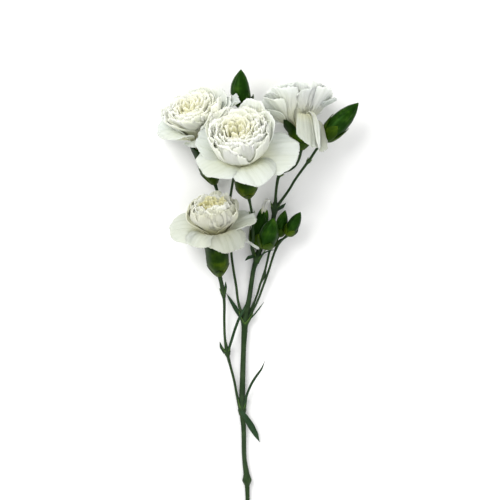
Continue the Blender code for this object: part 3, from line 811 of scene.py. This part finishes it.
def build_leaf(name, node, points, half_width):
    """A narrow leaf along its midrib: (x, y, z, share of the half width)."""
    line = soft_line(points, 12, 60)
    fine = np.linspace(0, 1, len(line))
    bend = line[:, :3] * MM + np.array(SHIFT)
    ahead = np.gradient(bend, axis=0)
    ahead /= np.linalg.norm(ahead, axis=1)[:, None]
    side = np.cross(ahead, (0, 0, 1))
    side /= np.linalg.norm(side, axis=1)[:, None]
    over = np.cross(side, ahead)

    def place(across, along):
        at = [np.stack([np.interp(along, fine, part[:, i]) for i in range(3)], axis=1)
              for part in (bend, side, over)]
        width = half_width * MM * np.interp(along, fine, line[:, 3]) * (1 - 0.97 * along ** 14)
        lift = 0.3 * width * np.abs(across) ** 1.4
        return at[0] + at[1] * (across * width)[:, None] + at[2] * lift[:, None]

    data = grid_mesh(name, 10, 28, [place])
    add_piece(name, data, LEAF_SKIN, [node], LEAF_WALL)


def build_sheath(name, node, base, top, radius, mouth):
    """The joined feet of a leaf pair: a thin collar round a joint, low in front, with a pale rim."""
    frame_matrix, length = bud_frame(base, top)

    def collar(across, along):
        angle = across * pi
        side = 0.5 - 0.5 * np.cos(2 * angle)
        level = along * (0.3 + 0.7 * side)
        wide = radius + (mouth - radius) * smooth_step(level * 1.1)
        points = np.stack((wide * np.sin(angle), -wide * np.cos(angle), level * length), axis=1)
        return in_world(points * MM, frame_matrix)

    data = grid_mesh(name, 24, 10, [collar], True)
    add_piece(name, data, SHEATH_SKIN, [node], SHEATH_WALL)


# foot and top of each collar, its radius at the foot and at the mouth
SHEATHS = (
    ("sheath_lance", "stem_main", (-9.6, -66.8, 2.8), (-9.4, -57.0, 2.8), 1.8, 2.5),
    ("sheath_fork", "stem_main", (-8.3, -18.4, 3.3), (-7.4, -9.4, 3.4), 1.5, 3.9),
    ("sheath_knot", "stem_main", (-1.9, 17.4, 3.4), (0.2, 26.0, 3.7), 1.5, 3.3),
    ("sheath_upper", "stem_main", (8.4, 45.8, 4.4), (9.0, 51.6, 5.6), 1.5, 2.7),
    ("sheath_side", "stem_low_bloom", (-17.6, -33.6, 4.3), (-18.6, -28.2, 4.6), 1.4, 2.3),
    ("sheath_low", "stem_low_bloom", (-19.7, -1.2, 6.1), (-20.5, 3.8, 6.8), 1.0, 1.7),
    ("sheath_front", "stem_front_bloom", (-4.1, 42.4, 17.2), (-4.3, 46.4, 18.2), 0.9, 1.5),
    ("sheath_right", "stem_right_bloom", (10.7, 65.6, 13.2), (12.4, 67.6, 14.4), 1.0, 1.7),
    ("sheath_bud", "stem_bud_right", (26.4, 72.8, 16.3), (28.0, 75.2, 17.2), 0.9, 1.3))


# the middle of each stem in millimetres, and its share of the full radius, larger at a joint
STEMS = {
    "stem_main": (
        (-6.6, -123.8, 1.8, 0.9), (-6.6, -112.8, 2.2, 0.86), (-6.8, -106.4, 2.5, 1.0),
        (-6.9, -103.4, 2.75, 2.0), (-7.2, -99.8, 2.7, 1.25), (-8.3, -92.0, 2.7, 0.95),
        (-8.8, -74.2, 2.8, 1.0), (-9.4, -67.6, 2.8, 1.1), (-9.6, -64.4, 2.8, 1.8),
        (-9.6, -61.2, 2.8, 1.35), (-9.4, -49.5, 2.9, 1.18), (-8.8, -30.3, 3.0, 1.05),
        (-8.2, -18.0, 3.2, 1.3), (-8.0, -13.8, 3.3, 1.9), (-7.3, -9.8, 3.3, 1.3),
        (-5.8, -2.8, 3.3, 1.0), (-4.4, 6.6, 3.3, 0.97), (-3.0, 14.9, 3.3, 0.97),
        (-2.0, 18.0, 3.4, 1.15), (-1.2, 20.8, 3.5, 1.8), (-0.2, 24.0, 3.4, 1.1),
        (2.9, 29.5, 2.3, 0.9), (6.7, 38.2, 2.6, 0.9), (8.2, 44.6, 4.1, 1.0),
        (8.6, 48.2, 5.0, 1.8), (8.9, 51.2, 5.6, 0.95)),
    "stem_low_bloom": (
        (-11.0, -62.8, 2.9, 1.3), (-12.9, -53.9, 3.2, 1.0), (-13.9, -48.4, 3.4, 1.0),
        (-16.0, -40.2, 3.8, 1.0), (-17.4, -34.6, 4.2, 1.3), (-17.9, -31.9, 4.4, 2.8),
        (-18.4, -29.2, 4.5, 1.4), (-19.1, -24.8, 4.8, 1.0), (-19.5, -14.9, 5.2, 1.0),
        (-19.6, -2.5, 6.0, 1.15), (-20.1, 1.1, 6.3, 2.2), (-20.9, 5.5, 7.0, 1.6),
        (-21.5, 8.2, 7.8, 1.65), (-22.25, 10.9, 8.5, 1.75)),
    "stem_front_bloom": (
        (-3.2, 22.2, 4.6, 1.2), (-4.4, 27.0, 10.8, 1.0), (-3.4, 30.3, 13.7, 1.0),
        (-3.4, 34.7, 15.5, 1.0), (-4.0, 41.6, 17.1, 1.1), (-4.1, 43.5, 17.4, 1.8),
        (-4.3, 45.4, 18.0, 1.1), (-5.0, 49.5, 19.2, 1.0), (-6.0, 54.0, 20.6, 1.5)),
    "stem_right_bloom": (
        (8.9, 50.6, 5.4, 1.4), (9.0, 54.5, 7.4, 1.1), (9.6, 60.5, 10.6, 1.1),
        (10.5, 65.2, 13.0, 1.3), (11.1, 66.6, 13.8, 2.2), (13.0, 67.6, 14.8, 1.1),
        (18.3, 69.9, 18.0, 1.0), (20.9, 73.0, 19.6, 1.0), (22.8, 79.9, 22.6, 1.5)),
    "stem_left_bloom": (
        (-16.6, 35.6, 6.1, 1.1), (-18.9, 42.0, 6.1, 1.0), (-20.6, 50.0, 6.4, 1.0),
        (-23.2, 57.0, 6.7, 1.0), (-24.8, 61.8, 7.4, 1.5)),
    "stem_bud_top": (
        (-9.6, -11.4, 3.4, 1.2), (-11.7, -4.4, 3.8, 1.0), (-12.8, 3.9, 4.2, 1.0),
        (-14.6, 14.9, 5.0, 0.95), (-15.5, 22.0, 5.4, 0.95), (-16.1, 33.0, 6.0, 1.0),
        (-16.2, 52.3, 8.0, 1.0), (-14.6, 63.3, 10.2, 1.0), (-11.8, 79.8, 14.2, 1.0),
        (-9.4, 93.5, 18.4, 1.0), (-8.45, 102.6, 21.4, 1.5)),
    "stem_bud_right": (
        (9.6, 48.8, 5.2, 1.2), (16.2, 57.8, 9.0, 1.0), (19.5, 63.3, 11.5, 1.0),
        (23.4, 68.8, 14.0, 1.0), (26.2, 72.6, 16.2, 1.1), (27.0, 73.7, 16.7, 1.9),
        (27.9, 74.9, 17.1, 1.1), (31.1, 79.8, 18.4, 1.0), (35.1, 85.4, 19.7, 1.6)),
    "stem_bud_middle": (
        (-6.6, -12.6, 2.8, 1.1), (-1.6, -1.1, 3.0, 0.85), (0.8, 6.6, 4.0, 0.9),
        (2.5, 10.5, 4.8, 1.5), (3.3, 14.0, 5.4, 0.9), (4.5, 19.2, 6.4, 0.9),
        (5.9, 24.8, 7.6, 0.9), (8.0, 28.6, 8.3, 0.9), (10.4, 32.2, 9.1, 1.3)),
    "stem_bud_small": (
        (-6.4, -13.6, 4.2, 1.1), (-1.2, -3.9, 5.0, 0.85), (1.4, 2.8, 5.4, 0.9),
        (4.9, 12.7, 6.4, 0.9), (8.5, 23.7, 9.0, 0.9), (11.2, 29.4, 11.2, 1.5),
        (13.2, 31.0, 11.9, 0.9), (15.4, 32.8, 12.7, 1.3))}

# each leaf and small bract: half its width, then its midrib with a share of that width
LEAVES = (
    ("leaf_lance", 1.8, (
        (-10.2, -64.6, 4.9, 0.5), (-7.4, -68.4, 5.0, 0.8), (-4.6, -73.0, 4.6, 1.0),
        (-1.9, -77.8, 3.4, 0.75), (0.3, -82.4, 2.4, 0.06))),
    ("leaf_curved", 0.62, (
        (-8.4, -62.2, 4.0, 1.0), (-7.0, -55.4, 4.7, 1.0), (-4.4, -49.4, 5.5, 1.0),
        (-1.6, -45.0, 6.3, 1.0), (1.2, -41.4, 7.2, 0.8), (3.0, -36.8, 8.2, 0.2))),
    ("leaf_joint", 0.7, (
        (-17.4, -31.2, 5.4, 0.9), (-15.4, -25.3, 6.0, 1.0), (-13.8, -19.8, 6.4, 1.0),
        (-11.6, -13.8, 6.8, 1.0), (-9.0, -8.8, 7.0, 0.8), (-6.4, -2.6, 6.6, 0.2))),
    ("leaf_left", 1.2, (
        (-9.6, -13.6, 2.8, 0.9), (-13.0, -8.2, 2.2, 1.0), (-14.9, -5.0, 2.4, 0.8),
        (-16.8, -1.9, 3.2, 0.5), (-18.4, 0.6, 3.8, 0.1))),
    ("leaf_right", 0.34, (
        (-6.4, -14.8, 4.6, 1.0), (-2.4, -10.6, 6.0, 1.0), (0.1, -7.4, 6.9, 0.9),
        (2.5, -4.1, 7.4, 0.2))),
    ("bract_joint", 0.8, (
        (-19.2, -32.4, 4.6, 1.0), (-21.2, -29.2, 5.0, 1.0), (-22.0, -26.2, 5.6, 0.2))),
    ("bract_knot", 0.9, (
        (-3.0, 21.4, 4.6, 1.0), (-6.0, 20.6, 5.0, 1.0), (-8.0, 18.8, 5.6, 0.15))),
    ("bract_thread", 0.3, (
        (0.4, 21.2, 4.6, 1.0), (3.2, 23.4, 8.6, 1.0), (6.0, 24.6, 10.4, 0.9),
        (8.9, 24.9, 10.8, 0.3))),
    ("bract_front", 0.6, (
        (-5.0, 43.4, 17.4, 1.0), (-6.7, 40.8, 17.3, 1.0), (-7.2, 38.4, 17.6, 0.2))),
    ("bract_low", 0.7, (
        (-19.2, 0.6, 6.6, 1.0), (-18.7, 4.2, 7.0, 1.0), (-18.7, 7.2, 7.4, 0.2))),
    ("bract_fork", 0.9, (
        (9.8, 47.2, 5.4, 1.0), (12.8, 48.8, 6.8, 1.0), (14.6, 50.8, 7.8, 0.15))))

# foot and tip of each bud, its girth, the turn of its seams, the height of its bracts, a sideways bow, and
# how far its lobes stand open
BUDS = (
    ("bud_top", (-8.45, 102.2, 21.3), (-10.2, 123.8, 25.0), 5.5, 0.3, 0.34, 1.3, 0.0),
    ("bud_right", (34.9, 85.2, 19.6), (54.4, 105.6, 23.0), 5.5, 0.1, 0.5, 0.0, 0.0),
    ("bud_opening", (-2.2, 25.4, 6.6), (2.6, 47.6, 10.0), 4.9, 0.0, 0.5, 0.0, 0.8),
    ("bud_front", (3.0, 25.6, 13.3), (7.9, 42.3, 22.3), 5.3, 0.4, 0.42, 0.0, 0.0),
    ("bud_middle", (10.3, 32.0, 9.0), (14.3, 46.8, 10.8), 3.4, 0.2, 0.4, 0.0, 0.0),
    ("bud_small", (15.3, 32.6, 12.6), (22.7, 45.7, 15.8), 3.5, 0.5, 0.4, 0.0, 0.0))


def build_spray():
    """Stems first, then what they carry, each bloom from its calyx inwards."""
    for name, points in STEMS.items():
        main = name == "stem_main"
        build_stem(name, points, STEM_RADIUS if main else PEDICEL_RADIUS, main)
    for sheath in SHEATHS:
        build_sheath(*sheath)
    for node, half_width, points in LEAVES:
        build_leaf(node.replace("leaf_", "blade_").replace("bract_", "scale_"), node, points, half_width)
    for node, *shape in BUDS:
        build_bud(node.replace("bud_", "green_bud_"), node, *shape)
    build_opening_petal()
    for name, bloom in BLOOMS.items():
        frame_matrix = bloom_frame(bloom["base"], bloom["lean"], bloom["tilt"])
        build_calyx(name, bloom, frame_matrix)
        build_guards(name, bloom, frame_matrix)
        build_heart(name, bloom, frame_matrix)


# ---------------------------------------------------------------- table, light and camera

TABLE_HALF_WIDTH = 15.0
LIGHT_AIM = Vector((0, 0.03, 0.02))
# the middle of the view, measured from SHIFT, and the width that it takes in at its height above the table
VIEW_LEFT = 5.225 * MM
VIEW_AHEAD = 24.75 * MM
VIEW_HEIGHT = 20 * MM
VIEW_WIDTH = 275 * MM


def add_light(name, place, size, power, colour):
    light = bpy.data.lights.new(name, "AREA")
    light.size = size
    light.energy = power
    light.color = colour
    item = bpy.data.objects.new(name, light)
    bpy.context.scene.collection.objects.link(item)
    item.location = place
    item.rotation_euler = (LIGHT_AIM - Vector(place)).to_track_quat("-Z", "Y").to_euler()
    return item


def set_table():
    mesh = bmesh.new()
    bmesh.ops.create_grid(mesh, x_segments=1, y_segments=1, size=TABLE_HALF_WIDTH)
    data = bpy.data.meshes.new("table")
    mesh.to_mesh(data)
    mesh.free()
    table = bpy.data.objects.new("table", data)
    bpy.context.scene.collection.objects.link(table)
    cover, nodes, links, shader = new_material("table_white", (0.93, 0.93, 0.93), 0.9)
    place = nodes.new("ShaderNodeTexCoord")
    soft = noise_node(nodes, links, place.outputs["Object"], 40.0)
    shade = ramp_node(nodes, links, soft, ((0.3, (0.93, 0.93, 0.93)), (0.7, (0.94, 0.94, 0.94))))
    links.new(shade, shader.inputs["Base Color"])
    shader.inputs["Specular IOR Level"].default_value = 0.1
    data.materials.append(cover)


def set_lights():
    world = bpy.data.worlds.new("studio")
    world.use_nodes = True
    background = world.node_tree.nodes["Background"]
    background.inputs["Color"].default_value = (1.0, 1.0, 1.0, 1.0)
    background.inputs["Strength"].default_value = 0.82
    bpy.context.scene.world = world
    add_light("key_light", (-0.5, 0.5, 0.95), 0.6, 7.5, (1.0, 0.995, 0.97))
    add_light("fill_light", (0.35, -0.5, 1.1), 1.0, 4.0, (1.0, 1.0, 1.0))
    bpy.context.scene.view_settings.view_transform = "Standard"


def set_camera():
    """A long lens that looks straight down."""
    camera = bpy.data.cameras.new("camera")
    camera.lens = 200.0
    camera.sensor_width = 36.0
    camera.clip_end = 50.0
    item = bpy.data.objects.new("camera", camera)
    bpy.context.scene.collection.objects.link(item)
    away = VIEW_WIDTH * camera.lens / camera.sensor_width
    item.location = (SHIFT.x - VIEW_LEFT, SHIFT.y + VIEW_AHEAD, away + VIEW_HEIGHT)
    bpy.context.scene.camera = item


build_spray()
set_table()
set_lights()
set_camera()
bpy.context.view_layer.update()
